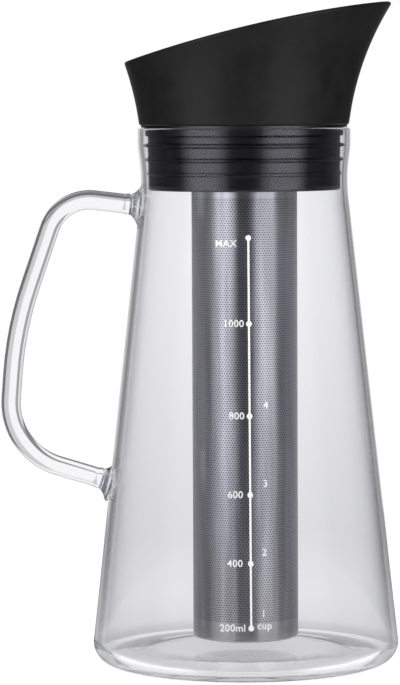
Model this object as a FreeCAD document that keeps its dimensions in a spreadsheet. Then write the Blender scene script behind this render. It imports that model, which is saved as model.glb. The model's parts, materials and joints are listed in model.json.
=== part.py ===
import FreeCAD, Part
import math
import os
import Sketcher

# Cold brew coffee maker: a blown glass jug with a fused glass handle, a black pouring lid that
# plugs its neck, a tilting flap in the lid and a tubular mesh filter that hangs from the lid.
#
# Frame: origin on the jug's axis in the plane of its foot ring, +Z up, +X towards the pouring
# side, handle on the -X side, printed scale on the -Y side. Millimetres and degrees.

SIZES = {
    # glass jug
    "jug_height": 202.6,        # foot plane to the lip
    "glass_wall": 2.0,
    "floor_wall": 3.2,
    "side_foot_r": 58.9,        # where the conical side would meet the foot plane
    "base_round": 7.0,
    "neck_r": 40.2,             # outside of the neck below the lip
    "neck_drop": 7.1,           # lip to the foot of the straight neck
    "neck_round": 25.0,
    "waist_pinch": 1.6,         # how much narrower the waist is than the neck
    "waist_drop": 19.1,         # lip to the waist
    "waist_round": 60.0,
    "lip_round": 0.95,
    "foot_ring_inset": 14.9,    # inner edge of the ring it stands on, from side_foot_r
    "push_up_slope_w": 10.0,    # from that edge to the flat middle of the base
    "push_up": 1.6,             # how far the middle of the base is pushed in
    "push_up_round": 14.0,
    # glass handle; reaches are measured outwards from the jug's side
    "rod_d": 7.4,
    "top_weld_drop": 29.2,      # lip to the upper weld
    "top_bend_reach": 30.2,
    "top_bend_drop": 25.5,
    "top_bend_round": 16.0,
    "grip_bend_reach": 41.9,
    "grip_bend_height": 127.0,
    "grip_bend_round": 135.0,
    "low_bend_reach": 40.3,
    "low_bend_height": 80.6,
    "low_bend_round": 25.0,
    "low_weld_height": 68.4,
    "weld_flare_r": 7.0,
    "weld_flare_len": 4.4,
    "weld_flare_round": 3.2,
    "weld_swell": 0.35,         # how far the molten bead stands proud of the rod
    "weld_edge": 0.4,           # thickness of the flare's edge on the wall
    # fired-on scale
    "print_thick": 0.2,
    "scale_line_w": 0.75,
    "scale_dot_d": 2.1,
    "mark_cup_one": 20.8,
    "mark_cup_two": 44.2,
    "mark_cup_three": 69.1,
    "mark_cup_four": 97.7,
    "mark_cup_five": 131.3,
    "full_mark_drop": 40.0,     # lip to the top mark
    # neck plug
    "rest_gap": 0.2,            # between faces that rest on each other across a joint
    "fit_gap": 0.05,            # between pieces pushed together
    "neck_gap": 1.9,            # plug to the inside of the neck
    "plug_depth": 21.6,         # lip to the lower end of the sleeve
    "sleeve_wall": 1.6,
    "seal_flange": 0.7,
    "shoulder_w": 1.2,          # the sleeve's thicker top, which centres the plug in the lip
    "shoulder_height": 3.2,
    "shoulder_round": 0.5,
    "fin_root": 1.5,
    "fin_tip": 0.7,
    "fin_tip_round": 0.3,
    "fin_root_round": 0.5,
    "fin_gap": 0.15,
    "top_fin_drop": 6.5,
    "fin_pitch": 5.3,
    "core_wall": 1.5,
    "core_flange_w": 1.8,
    "core_flange_thick": 1.5,
    # pouring collar
    "collar_step": 0.6,         # how far the collar's foot stands inside the neck's outside
    "collar_wall": 2.5,
    "collar_foot_thick": 1.9,
    "collar_foot_round": 1.2,
    "flare_low_angle": 8.6,
    "flare_top_angle": 31.0,
    "flare_bend_height": 24.9,
    "flare_round": 109.0,
    "mouth_height": 36.6,       # collar foot to the middle of its slanted mouth
    "mouth_tilt": 13.1,         # in that middle; the mouth's edge is crowned
    "mouth_crown_r": 510.0,
    "mouth_round": 0.85,
    # strainer plate with the filter socket
    "plate_thick": 1.8,
    "upstand_wall": 1.4,
    "upstand_height": 3.0,
    "socket_gap": 1.0,          # filter tube to the socket's bore
    "socket_wall": 1.6,
    "socket_depth": 4.8,
    "socket_lip_thick": 1.2,
    "fill_r": 18.0,             # opening through which the filter is filled
    "slot_w": 3.2,
    "slot_in_r": 24.6,
    "slot_out_r": 30.2,
    "slot_end_flat": 0.08,
    # flap
    "pivot_back": 9.0,
    "pivot_drop": 2.6,          # lip to the pin's axis
    "pin_d": 2.5,
    "pin_run_gap": 0.06,
    "pin_seat": 0.7,            # how far each pin end goes into its boss past the bore
    "boss_r": 2.6,
    "boss_top_flat": 0.1,
    "boss_height": 7.0,
    "boss_side_gap": 1.3,
    "ledge_w": 3.0,
    "ledge_thick": 1.5,
    "front_ledge_angle": 150.0,
    "rear_ledge_w": 2.7,
    "rear_ledge_angle": 116.0,
    "flap_lift": 3.1,           # pin axis to the underside of the flap
    "flap_edge_gap": 1.3,
    "flap_seal_w": 2.45,
    "flap_seal_thick": 2.3,
    "flap_seal_bevel": 0.7,
    "flap_seal_web_w": 1.2,
    "flap_plate_thick": 1.45,
    "disc_thick": 0.6,
    "disc_rim_w": 4.0,
    "disc_rise": 1.5,
    "disc_flat_r": 11.0,
    "disc_round": 30.0,
    "lug_thick": 3.0,
    "lug_out": 22.0,            # outer face of each lug, from the middle
    "lug_front_w": 5.0,
    "lug_round": 5.5,
    "weight_d": 9.0,
    "weight_half_len": 25.0,
    "weight_back": 4.0,         # from the pin's axis
    "weight_drop": 7.6,
    "weight_wrap": 1.2,
    # filter
    "mesh_r": 20.0,
    "mesh_wall": 0.4,
    "filter_floor_gap": 4.5,    # filter to the middle of the jug's floor
    "ring_gap": 0.3,            # filter ring to the socket's bore
    "ring_wall": 1.75,
    "ring_spigot": 8.0,
    "ring_height": 3.2,
    "gasket_d": 1.5,
    "gasket_gap": 0.05,
    "gasket_groove_w": 1.9,
    "cap_height": 1.3,
    "cap_round": 0.7,
    "cap_wall": 0.6,
    "cap_spigot": 4.0,
}

FIN_COUNT = 3
MOUTH_EDGE_REACH = 0.01     # an edge this close to the mouth's surface lies in it
SLOT_COUNT = 24
CUP_MARKS = ["mark_cup_one", "mark_cup_two", "mark_cup_three", "mark_cup_four", "mark_cup_five"]

doc = FreeCAD.newDocument("cold_brew_maker")
sheet = doc.addObject("Spreadsheet::Sheet", "sizes")
for row, (alias, size) in enumerate(SIZES.items(), start=1):
    sheet.set(f"A{row}", alias)
    sheet.set(f"B{row}", str(size))
    sheet.setAlias(f"B{row}", alias)
doc.recompute()


# ---------------------------------------------------------------- expressions shared by the pieces

def size(alias):
    return f"sizes.{alias}"


def total(*terms):
    """The sum of some expressions."""
    return "(" + " + ".join(terms) + ")"


def less(whole, *parts):
    """An expression with others taken from it."""
    return "(" + " - ".join([whole, *parts]) + ")"


def half(term):
    return f"({term} / 2)"


def twice(term):
    return f"(2 * {term})"


def number(expression):
    return float(sheet.evalExpression(expression))


# jug
LIP_Z = size("jug_height")
NECK_R = size("neck_r")
NECK_Z = less(LIP_Z, size("neck_drop"))
WAIST_R = less(NECK_R, size("waist_pinch"))
WAIST_Z = less(LIP_Z, size("waist_drop"))
SIDE_R = size("side_foot_r")
SIDE_SLOPE = f"(({SIDE_R} - {WAIST_R}) / {WAIST_Z})"
FOOT_RING_R = less(SIDE_R, size("foot_ring_inset"))
PUSH_UP_R = less(FOOT_RING_R, size("push_up_slope_w"))
FLOOR_MIDDLE_Z = total(size("push_up"), size("floor_wall"))


def side_r(z):
    """Outer radius of the jug's conical side at a height."""
    return f"({SIDE_R} - {SIDE_SLOPE} * {z})"


def neck_bore_r(z):
    """Inner radius of the neck between the waist and the straight part."""
    rise = f"({size('waist_pinch')} * ({z} - {WAIST_Z}) / ({NECK_Z} - {WAIST_Z}))"
    return less(total(WAIST_R, f"min({rise}; {size('waist_pinch')})"), size("glass_wall"))


# lid, from the neck inwards
SLEEVE_R = less(NECK_R, size("glass_wall"), size("neck_gap"))
CORE_R = less(SLEEVE_R, size("sleeve_wall"))
BORE_R = less(CORE_R, size("core_wall"))
SEAL_FOOT_Z = total(LIP_Z, size("rest_gap"))
COLLAR_Z = total(SEAL_FOOT_Z, size("seal_flange"))
COLLAR_FOOT_TOP_Z = total(COLLAR_Z, size("collar_foot_thick"))
CORE_TOP_Z = total(COLLAR_FOOT_TOP_Z, size("core_flange_thick"))
CORE_FLANGE_R = total(CORE_R, size("core_flange_w"))
COLLAR_R = less(NECK_R, size("collar_step"))
PLATE_TOP_Z = less(LIP_Z, size("plug_depth"))
PLATE_Z = less(PLATE_TOP_Z, size("plate_thick"))

# flap
PIVOT_X = f"(-{size('pivot_back')})"
PIVOT_Z = less(LIP_Z, size("pivot_drop"))
PIN_R = half(size("pin_d"))
FLAP_Z = total(PIVOT_Z, size("flap_lift"))
FLAP_SEAL_R = less(BORE_R, size("flap_edge_gap"))
FLAP_SEAL_TOP_Z = total(FLAP_Z, size("flap_seal_thick"))
FLAP_PLATE_R = less(FLAP_SEAL_R, size("flap_seal_w"))
FLAP_PLATE_TOP_Z = total(FLAP_Z, size("flap_plate_thick"))
DISC_R = total(FLAP_PLATE_R, size("flap_seal_web_w"), f"(-{size('fit_gap')})")
WEIGHT_X = less(PIVOT_X, size("weight_back"))
WEIGHT_Z = less(PIVOT_Z, size("weight_drop"))
WEIGHT_R = half(size("weight_d"))
BOSS_INNER_Y = total(size("weight_half_len"), size("boss_side_gap"))
BORE_AT_PIVOT_Y = f"sqrt({BORE_R} * {BORE_R} - ({size('pivot_back')} + {size('boss_r')}) ^ 2)"
PIN_HALF_LEN = total(BORE_AT_PIVOT_Y, size("pin_seat"))

# filter
MESH_R = size("mesh_r")
MESH_BORE_R = less(MESH_R, size("mesh_wall"))
SOCKET_R = total(MESH_R, size("socket_gap"))
SOCKET_OUT_R = total(SOCKET_R, size("socket_wall"))
SOCKET_LIP_Z = total(PLATE_Z, size("socket_depth"))
SOCKET_TOP_Z = total(SOCKET_LIP_Z, size("socket_lip_thick"))
RING_R = less(SOCKET_R, size("ring_gap"))
RING_TOP_Z = less(SOCKET_LIP_Z, size("rest_gap"))
RING_Z = less(RING_TOP_Z, size("ring_height"))
FILTER_Z = total(FLOOR_MIDDLE_Z, size("filter_floor_gap"))
MESH_Z = total(FILTER_Z, size("cap_height"))
GASKET_R = less(SOCKET_R, size("gasket_gap"), half(size("gasket_d")))
GASKET_Z = total(RING_Z, half(size("ring_height")))


# ------------------------------------------------------------------------------- drawing helpers

def new_body(name):
    body = doc.addObject("PartDesign::Body", name)
    body.Label = name
    return body


def new_sketch(body, name, plane="XZ_Plane"):
    """A sketch on one of the body's origin planes. On XZ_Plane its x is X and its y is Z."""
    support = next(item for item in body.Origin.OriginFeatures if item.Role == plane)
    sketch = body.newObject("Sketcher::SketchObject", name)
    sketch.AttachmentSupport = [(support, "")]
    sketch.MapMode = "FlatFace"
    return sketch


def bind(sketch, index, expression):
    sketch.setExpression(f"Constraints[{index}]", expression)


def place_point(sketch, geometry, position, x, y):
    """Holds a point of the geometry at the place that two expressions give."""
    origin = (-1, 1)
    for kind, expression, axis in (("DistanceX", x, -2), ("DistanceY", y, -1)):
        distance = number(expression)
        if expression == "0":
            sketch.addConstraint(Sketcher.Constraint("PointOnObject", geometry, position, axis))
        elif distance < 0:
            index = sketch.addConstraint(Sketcher.Constraint(kind, geometry, position, *origin, -distance))
            bind(sketch, index, f"-({expression})")
        else:
            index = sketch.addConstraint(Sketcher.Constraint(kind, *origin, geometry, position, distance))
            bind(sketch, index, expression)


def flat_vector(x, y):
    return FreeCAD.Vector(x, y, 0)


def draw_outline(sketch, corners, closed=True):
    """Straight sides through corners (x, y) or (x, y, radius), with tangent arcs at the round ones."""
    count = len(corners)
    points = [flat_vector(number(corner[0]), number(corner[1])) for corner in corners]
    arrivals = list(points)
    departures = list(points)
    arcs = {}
    for i, corner in enumerate(corners):
        if len(corner) == 2:
            continue
        radius = number(corner[2])
        back = (points[i - 1] - points[i]).normalize()
        ahead = (points[(i + 1) % count] - points[i]).normalize()
        half_angle = back.getAngle(ahead) / 2
        setback = radius / math.tan(half_angle)
        arrivals[i] = points[i] + back * setback
        departures[i] = points[i] + ahead * setback
        middle_way = (back + ahead).normalize()
        centre = points[i] + middle_way * (radius / math.sin(half_angle))
        arcs[i] = Part.Arc(arrivals[i], centre - middle_way * radius, departures[i])
    side_count = count if closed else count - 1
    lines = [
        sketch.addGeometry(Part.LineSegment(departures[i], arrivals[(i + 1) % count]))
        for i in range(side_count)
    ]
    for i, corner in enumerate(corners):
        before = lines[i - 1] if closed or i > 0 else None
        after = lines[i] if i < side_count else None
        if i not in arcs:
            if before is not None and after is not None:
                sketch.addConstraint(Sketcher.Constraint("Coincident", before, 2, after, 1))
            place_point(sketch, *((after, 1) if after is not None else (before, 2)), corner[0], corner[1])
            continue
        arc = sketch.addGeometry(arcs[i])
        arc_start = sketch.getPoint(arc, 1)
        first, last = (1, 2) if arc_start.distanceToPoint(arrivals[i]) < arc_start.distanceToPoint(
            departures[i]) else (2, 1)
        sketch.addConstraint(Sketcher.Constraint("Tangent", before, 2, arc, first))
        sketch.addConstraint(Sketcher.Constraint("Tangent", arc, last, after, 1))
        bind(sketch, sketch.addConstraint(Sketcher.Constraint("Radius", arc, number(corner[2]))), corner[2])
        mark = sketch.addGeometry(Part.Point(points[i]), True)
        sketch.addConstraint(Sketcher.Constraint("PointOnObject", mark, 1, before))
        sketch.addConstraint(Sketcher.Constraint("PointOnObject", mark, 1, after))
        place_point(sketch, mark, 1, corner[0], corner[1])


def draw_circle(sketch, x, y, radius):
    centre = flat_vector(number(x), number(y))
    circle = sketch.addGeometry(Part.Circle(centre, FreeCAD.Vector(0, 0, 1), number(radius)))
    bind(sketch, sketch.addConstraint(Sketcher.Constraint("Radius", circle, number(radius))), radius)
    place_point(sketch, circle, 3, x, y)


def draw_box(sketch, low_x, low_y, high_x, high_y):
    draw_outline(sketch, [(low_x, low_y), (high_x, low_y), (high_x, high_y), (low_x, high_y)])


def expect_change(body, feature, volume_before, grows):
    """A feature that points the wrong way changes nothing and reports no error."""
    doc.recompute()
    change = body.Shape.Volume - volume_before
    if (change > 0) != grows or change == 0:
        raise RuntimeError(f"{feature.Name} of {body.Label} changed its volume by {change:.3f}")


def volume_of(body):
    doc.recompute()
    return 0 if body.Shape.isNull() else body.Shape.Volume


def turn(body, name, corners, cut=False, sweep=None):
    """Revolves an outline in the XZ plane about Z: all round, or sweep degrees about the plane."""
    before = volume_of(body)
    sketch = new_sketch(body, f"{name}_outline")
    draw_outline(sketch, corners)
    feature = body.newObject("PartDesign::Groove" if cut else "PartDesign::Revolution", name)
    feature.Profile = (sketch, [""])
    feature.ReferenceAxis = (sketch, ["V_Axis"])
    feature.Angle = 360
    if sweep:
        feature.Midplane = True
        feature.setExpression("Angle", sweep)
    expect_change(body, feature, before, not cut)
    return feature


def extrude(body, name, sketch, width, cut=False):
    """Pads or pockets a sketch evenly to both sides of its plane."""
    before = volume_of(body)
    feature = body.newObject("PartDesign::Pocket" if cut else "PartDesign::Pad", name)
    feature.Profile = (sketch, [""])
    feature.SideType = "Symmetric"
    feature.setExpression("Length", width)
    expect_change(body, feature, before, not cut)
    return feature


def round_edges(body, name, wanted, radius):
    """Fillets the edges of the body's tip that a test picks."""
    base = body.Tip
    names = [f"Edge{i}" for i, edge in enumerate(base.Shape.Edges, start=1) if wanted(edge)]
    if not names:
        raise RuntimeError(f"{name} of {body.Label} finds no edge")
    before = volume_of(body)
    feature = body.newObject("PartDesign::Fillet", name)
    feature.Base = (base, names)
    feature.setExpression("Radius", radius)
    expect_change(body, feature, before, False)
    return feature


# ------------------------------------------------------------------------------------- glass jug

def jug_outside(grow="0"):
    """Corners of the jug's outer surface from the foot ring to the lip, moved outwards by grow."""
    return [
        (total(SIDE_R, grow), "0", size("base_round")),
        (total(WAIST_R, grow), WAIST_Z, size("waist_round")),
        (total(NECK_R, grow), NECK_Z, size("neck_round")),
    ]


def make_glass_body():
    body = new_body("glass_body")
    wall = size("glass_wall")
    inner_low_r = less(side_r(size("floor_wall")), wall)
    inner_round = less(size("base_round"), wall)
    outline = [
        ("0", size("push_up")),
        (PUSH_UP_R, size("push_up"), size("push_up_round")),
        (FOOT_RING_R, "0"),
        *jug_outside(),
        (NECK_R, LIP_Z, size("lip_round")),
        (less(NECK_R, wall), LIP_Z, size("lip_round")),
        (less(NECK_R, wall), NECK_Z, total(size("neck_round"), wall)),
        (less(WAIST_R, wall), WAIST_Z, total(size("waist_round"), wall)),
        (inner_low_r, size("floor_wall"), inner_round),
        (FOOT_RING_R, size("floor_wall"), size("push_up_round")),
        (PUSH_UP_R, FLOOR_MIDDLE_Z, size("push_up_round")),
        ("0", FLOOR_MIDDLE_Z),
    ]
    turn(body, "blown_wall", outline)
    return body


# ---------------------------------------------------------------------------------- glass handle

TOP_WELD_Z = less(LIP_Z, size("top_weld_drop"))
LOW_WELD_Z = size("low_weld_height")
TOP_BEND = (f"(-({side_r(TOP_WELD_Z)} + {size('top_bend_reach')}))", less(LIP_Z, size("top_bend_drop")))
GRIP_BEND = (
    f"(-({side_r(size('grip_bend_height'))} + {size('grip_bend_reach')}))", size("grip_bend_height"))
LOW_BEND = (
    f"(-({side_r(size('low_bend_height'))} + {size('low_bend_reach')}))", size("low_bend_height"))


def weld_x(z):
    """Both ends of the rod start in the middle of the jug's wall."""
    return f"(-({side_r(z)} - {size('glass_wall')} / 2))"


def run_angle(weld, bend):
    """Slope of the straight run that ends at a weld."""
    return f"atan2({weld[1]} - {bend[1]}; {weld[0]} - {bend[0]})"


def set_offset(sketch, base, turn_axis, angle):
    """Moves and turns a sketch within its plane's own axes; base and angle are expressions."""
    sketch.AttachmentOffset = FreeCAD.Placement(
        FreeCAD.Vector(*[number(term) for term in base]),
        FreeCAD.Rotation(turn_axis, number(angle)))
    for letter, term in zip("xyz", base):
        sketch.setExpression(f".AttachmentOffset.Base.{letter}", term)
    sketch.setExpression(".AttachmentOffset.Rotation.Angle", angle)
    doc.recompute()


def add_weld_flare(body, name, weld, bend):
    """Spreads one end of the rod onto the jug's side, about the rod's own axis."""
    before = volume_of(body)
    sketch = new_sketch(body, f"{name}_outline")
    set_offset(sketch, (*weld, "0"), FreeCAD.Vector(0, 0, 1), run_angle(weld, bend))
    rod_r = half(size("rod_d"))
    wall_face = f"(-({size('glass_wall')} / 2 + {size('weld_edge')}))"
    far_end = less(wall_face, size("weld_flare_len"))
    draw_outline(sketch, [
        ("0", "0"),
        ("0", size("weld_flare_r")),
        (wall_face, size("weld_flare_r")),
        (wall_face, total(rod_r, size("weld_swell")), size("weld_flare_round")),
        (far_end, less(rod_r, half(size("weld_swell")))),
        (far_end, "0"),
    ])
    feature = body.newObject("PartDesign::Revolution", name)
    feature.Profile = (sketch, [""])
    feature.ReferenceAxis = (sketch, ["H_Axis"])
    feature.Angle = 360
    expect_change(body, feature, before, True)


def make_glass_handle():
    body = new_body("glass_handle")
    top_weld = (weld_x(TOP_WELD_Z), TOP_WELD_Z)
    low_weld = (weld_x(LOW_WELD_Z), LOW_WELD_Z)
    path = new_sketch(body, "rod_path")
    draw_outline(path, [
        top_weld,
        (*TOP_BEND, size("top_bend_round")),
        (*GRIP_BEND, size("grip_bend_round")),
        (*LOW_BEND, size("low_bend_round")),
        low_weld,
    ], closed=False)
    section = new_sketch(body, "rod_section", "YZ_Plane")
    square_to_run = f"(-{run_angle(top_weld, TOP_BEND)})"
    set_offset(section, ("0", TOP_WELD_Z, top_weld[0]), FreeCAD.Vector(1, 0, 0), square_to_run)
    draw_circle(section, "0", "0", half(size("rod_d")))
    doc.recompute()
    rod = body.newObject("PartDesign::AdditivePipe", "rod")
    rod.Profile = (section, [""])
    rod.Spine = (path, [f"Edge{i + 1}" for i in range(len(path.Shape.Edges))])
    doc.recompute()
    add_weld_flare(body, "top_flare", top_weld, TOP_BEND)
    add_weld_flare(body, "low_flare", low_weld, LOW_BEND)
    inside_jug = [("0", "0"), *jug_outside(), (NECK_R, LIP_Z), ("0", LIP_Z)]
    turn(body, "jug_side", inside_jug, cut=True)
    return body


# ---------------------------------------------------------------------------------- printed scale

def make_scale_print():
    body = new_body("scale_print")
    line = new_sketch(body, "scale_line")
    half_line = half(size("scale_line_w"))
    marks = [*[size(name) for name in CUP_MARKS], less(LIP_Z, size("full_mark_drop"))]
    draw_box(line, f"(-{half_line})", marks[0], half_line, marks[-1])
    reach = twice(SIDE_R)
    extrude(body, "scale_line_strip", line, reach)
    dots = new_sketch(body, "scale_dots")
    for mark in marks:
        draw_circle(dots, "0", mark, half(size("scale_dot_d")))
    extrude(body, "scale_dot_strips", dots, reach)
    inside_jug = [("0", "0"), *jug_outside(), (NECK_R, LIP_Z), ("0", LIP_Z)]
    turn(body, "jug_side", inside_jug, cut=True)
    turn(body, "print_surface", [
        (total(SIDE_R, size("print_thick")), "0"),
        (total(WAIST_R, size("print_thick")), WAIST_Z),
        (reach, WAIST_Z),
        (reach, "0"),
    ], cut=True)
    behind = new_sketch(body, "far_side", "XY_Plane")
    draw_box(behind, f"(-{SIDE_R})", "0", SIDE_R, SIDE_R)
    extrude(body, "far_side_removed", behind, twice(LIP_Z), cut=True)
    return body


# --------------------------------------------------------------------------------- pouring collar

def make_pour_collar():
    body = new_body("pour_collar")
    wall = size("collar_wall")
    bend_z = total(COLLAR_Z, size("flare_bend_height"))
    bend_r = f"({COLLAR_R} + {size('flare_bend_height')} * tan({size('flare_low_angle')}))"
    mouth_z = total(COLLAR_Z, size("mouth_height"))
    blank_z = total(mouth_z, SIDE_R)
    blank_r = f"({bend_r} + ({blank_z} - {bend_z}) * tan({size('flare_top_angle')}))"
    shoulder_z = total(CORE_TOP_Z, half(size("core_flange_thick")))
    shoulder_r = less(f"({COLLAR_R} + ({shoulder_z} - {COLLAR_Z}) * tan({size('flare_low_angle')}))", wall)
    seat_r = total(CORE_FLANGE_R, size("fit_gap"))
    turn(body, "flare", [
        (total(CORE_R, size("fit_gap")), COLLAR_Z),
        (COLLAR_R, COLLAR_Z, size("collar_foot_round")),
        (bend_r, bend_z, size("flare_round")),
        (blank_r, blank_z),
        (less(blank_r, wall), blank_z),
        (less(bend_r, wall), bend_z, total(size("flare_round"), wall)),
        (shoulder_r, shoulder_z),
        (seat_r, CORE_TOP_Z),
        (seat_r, COLLAR_FOOT_TOP_Z),
        (total(CORE_R, size("fit_gap")), COLLAR_FOOT_TOP_Z),
    ])
    above = new_sketch(body, "above_mouth")
    crown_r = size("mouth_crown_r")
    crown_x = f"({crown_r} * sin({size('mouth_tilt')}))"
    crown_z = f"({mouth_z} - {crown_r} * cos({size('mouth_tilt')}))"
    draw_circle(above, crown_x, crown_z, crown_r)
    reach = twice(crown_r)
    draw_box(above, f"(-{reach})", f"(-{reach})", reach, reach)
    extrude(body, "slanted_mouth", above, twice(blank_r), cut=True)
    crown = FreeCAD.Vector(number(crown_x), 0, number(crown_z))

    def on_mouth(edge):
        middle = (edge.FirstParameter + edge.LastParameter) / 2
        points = [edge.valueAt(edge.FirstParameter), edge.valueAt(middle)]
        heights = [math.hypot(point.x - crown.x, point.z - crown.z) for point in points]
        return all(abs(height - number(crown_r)) < MOUTH_EDGE_REACH for height in heights)

    round_edges(body, "mouth_edges", on_mouth, size("mouth_round"))
    return body


# ------------------------------------------------------------------------------- plug in the neck

def make_plug_core():
    body = new_body("plug_core")
    turn(body, "tube", [
        (BORE_R, PLATE_TOP_Z),
        (CORE_R, PLATE_TOP_Z),
        (CORE_R, COLLAR_FOOT_TOP_Z),
        (CORE_FLANGE_R, COLLAR_FOOT_TOP_Z),
        (CORE_FLANGE_R, CORE_TOP_Z),
        (BORE_R, CORE_TOP_Z),
    ])
    root_r = total(BORE_R, half(size("core_wall")))
    ledge_top_z = less(FLAP_Z, size("rest_gap"))
    ledge_in_r = less(BORE_R, size("ledge_w"))
    turn(body, "front_ledge", [
        (ledge_in_r, less(ledge_top_z, size("ledge_thick"))),
        (root_r, less(ledge_top_z, size("ledge_thick"))),
        (root_r, ledge_top_z),
        (ledge_in_r, ledge_top_z),
    ], sweep=size("front_ledge_angle"))
    rear_ledge_z = total(FLAP_SEAL_TOP_Z, size("rest_gap"))
    rear_in_r = less(BORE_R, size("rear_ledge_w"))
    turn(body, "rear_ledge", [
        (f"(-{rear_in_r})", rear_ledge_z),
        (f"(-{root_r})", rear_ledge_z),
        (f"(-{root_r})", CORE_TOP_Z),
        (f"(-{rear_in_r})", CORE_TOP_Z),
    ], sweep=size("rear_ledge_angle"))
    boss_r = size("boss_r")
    boss = new_sketch(body, "boss_outline")
    corner_round = less(boss_r, size("boss_top_flat"))
    draw_outline(boss, [
        (less(PIVOT_X, boss_r), less(PIVOT_Z, size("boss_height"))),
        (total(PIVOT_X, boss_r), less(PIVOT_Z, size("boss_height"))),
        (total(PIVOT_X, boss_r), total(PIVOT_Z, boss_r), corner_round),
        (less(PIVOT_X, boss_r), total(PIVOT_Z, boss_r), corner_round),
    ])
    wall_y = f"sqrt({root_r} ^ 2 - ({size('pivot_back')} + {boss_r}) ^ 2)"
    extrude(body, "bosses", boss, twice(wall_y))
    between = new_sketch(body, "between_bosses")
    draw_box(
        between,
        less(PIVOT_X, boss_r, boss_r), less(PIVOT_Z, size("boss_height"), boss_r),
        total(PIVOT_X, boss_r, boss_r), total(PIVOT_Z, boss_r, half(size("rest_gap"))))
    extrude(body, "flap_space", between, twice(BOSS_INNER_Y), cut=True)
    pin_holes = new_sketch(body, "pin_holes_outline")
    draw_circle(pin_holes, PIVOT_X, PIVOT_Z, total(PIN_R, half(size("fit_gap"))))
    extrude(body, "pin_holes", pin_holes, twice(total(PIN_HALF_LEN, size("fit_gap"))), cut=True)
    return body


def make_neck_seal():
    body = new_body("neck_seal")
    inner_r = total(CORE_R, size("fit_gap"))
    outline = [(inner_r, PLATE_TOP_Z), (SLEEVE_R, PLATE_TOP_Z)]
    for fin in reversed(range(FIN_COUNT)):
        fin_z = f"({LIP_Z} - {size('top_fin_drop')} - {fin} * {size('fin_pitch')})"
        fin_r = less(neck_bore_r(fin_z), size("fin_gap"))
        outline += [
            (SLEEVE_R, less(fin_z, half(size("fin_root"))), size("fin_root_round")),
            (fin_r, less(fin_z, half(size("fin_tip"))), size("fin_tip_round")),
            (fin_r, total(fin_z, half(size("fin_tip"))), size("fin_tip_round")),
            (SLEEVE_R, total(fin_z, half(size("fin_root"))), size("fin_root_round")),
        ]
    flange_r = less(COLLAR_R, half(size("collar_foot_round")))
    shoulder_r = total(SLEEVE_R, size("shoulder_w"))
    shoulder_z = less(SEAL_FOOT_Z, size("shoulder_height"))
    outline += [
        (SLEEVE_R, shoulder_z, size("shoulder_round")),
        (shoulder_r, shoulder_z, size("shoulder_round")),
        (shoulder_r, SEAL_FOOT_Z),
        (flange_r, SEAL_FOOT_Z),
        (flange_r, COLLAR_Z),
        (inner_r, COLLAR_Z),
    ]
    turn(body, "sleeve", outline)
    return body


def make_strainer_plate():
    body = new_body("strainer_plate")
    upstand_r = less(BORE_R, size("fit_gap"))
    upstand_top_z = total(PLATE_TOP_Z, size("upstand_height"))
    turn(body, "plate", [
        (SOCKET_R, PLATE_Z),
        (SLEEVE_R, PLATE_Z, half(size("plate_thick"))),
        (SLEEVE_R, PLATE_TOP_Z),
        (upstand_r, PLATE_TOP_Z),
        (upstand_r, upstand_top_z),
        (less(upstand_r, size("upstand_wall")), upstand_top_z),
        (less(upstand_r, size("upstand_wall")), PLATE_TOP_Z),
        (SOCKET_OUT_R, PLATE_TOP_Z),
        (SOCKET_OUT_R, SOCKET_TOP_Z),
        (size("fill_r"), SOCKET_TOP_Z),
        (size("fill_r"), SOCKET_LIP_Z),
        (SOCKET_R, SOCKET_LIP_Z),
    ])
    slot = new_sketch(body, "slot_outline", "XY_Plane")
    half_slot = half(size("slot_w"))
    slot_round = less(half_slot, size("slot_end_flat"))
    draw_outline(slot, [
        (size("slot_in_r"), f"(-{half_slot})", slot_round),
        (size("slot_out_r"), f"(-{half_slot})", slot_round),
        (size("slot_out_r"), half_slot, slot_round),
        (size("slot_in_r"), half_slot, slot_round),
    ])
    cut = extrude(body, "slot", slot, twice(SOCKET_TOP_Z), cut=True)
    before = volume_of(body)
    ring = body.newObject("PartDesign::PolarPattern", "slots")
    ring.Originals = [cut]
    ring.Axis = (slot, ["N_Axis"])
    ring.Angle = 360
    ring.Occurrences = SLOT_COUNT
    body.Tip = ring
    expect_change(body, ring, before, False)
    return body


def make_pivot_pin():
    body = new_body("pivot_pin")
    sketch = new_sketch(body, "pin_outline")
    draw_circle(sketch, PIVOT_X, PIVOT_Z, PIN_R)
    extrude(body, "pin", sketch, twice(PIN_HALF_LEN))
    return body


# ------------------------------------------------------------------------------------------- flap

def make_flap_disc():
    body = new_body("flap_disc")
    rim_r = less(DISC_R, size("disc_rim_w"))
    thick = size("disc_thick")
    base_z = total(FLAP_PLATE_TOP_Z, size("fit_gap"))
    dome_z = total(base_z, size("disc_rise"))
    bend = f"({size('disc_round')} + {thick})"
    turn(body, "pressed_sheet", [
        ("0", dome_z),
        (size("disc_flat_r"), dome_z, size("disc_round")),
        (rim_r, base_z, size("disc_rim_w")),
        (DISC_R, base_z),
        (DISC_R, total(base_z, thick)),
        (rim_r, total(base_z, thick), size("disc_rim_w")),
        (size("disc_flat_r"), total(dome_z, thick), bend),
        ("0", total(dome_z, thick)),
    ])
    return body


def make_flap_seal():
    body = new_body("flap_seal")
    inner_r = total(FLAP_PLATE_R, size("fit_gap"))
    groove_r = total(DISC_R, size("fit_gap"))
    turn(body, "edge_ring", [
        (inner_r, FLAP_Z),
        (FLAP_SEAL_R, FLAP_Z),
        (FLAP_SEAL_R, total(FLAP_Z, size("flap_seal_bevel"))),
        (less(FLAP_SEAL_R, size("flap_seal_bevel")), FLAP_SEAL_TOP_Z),
        (groove_r, FLAP_SEAL_TOP_Z),
        (groove_r, FLAP_PLATE_TOP_Z),
        (inner_r, FLAP_PLATE_TOP_Z),
    ])
    return body


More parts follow.
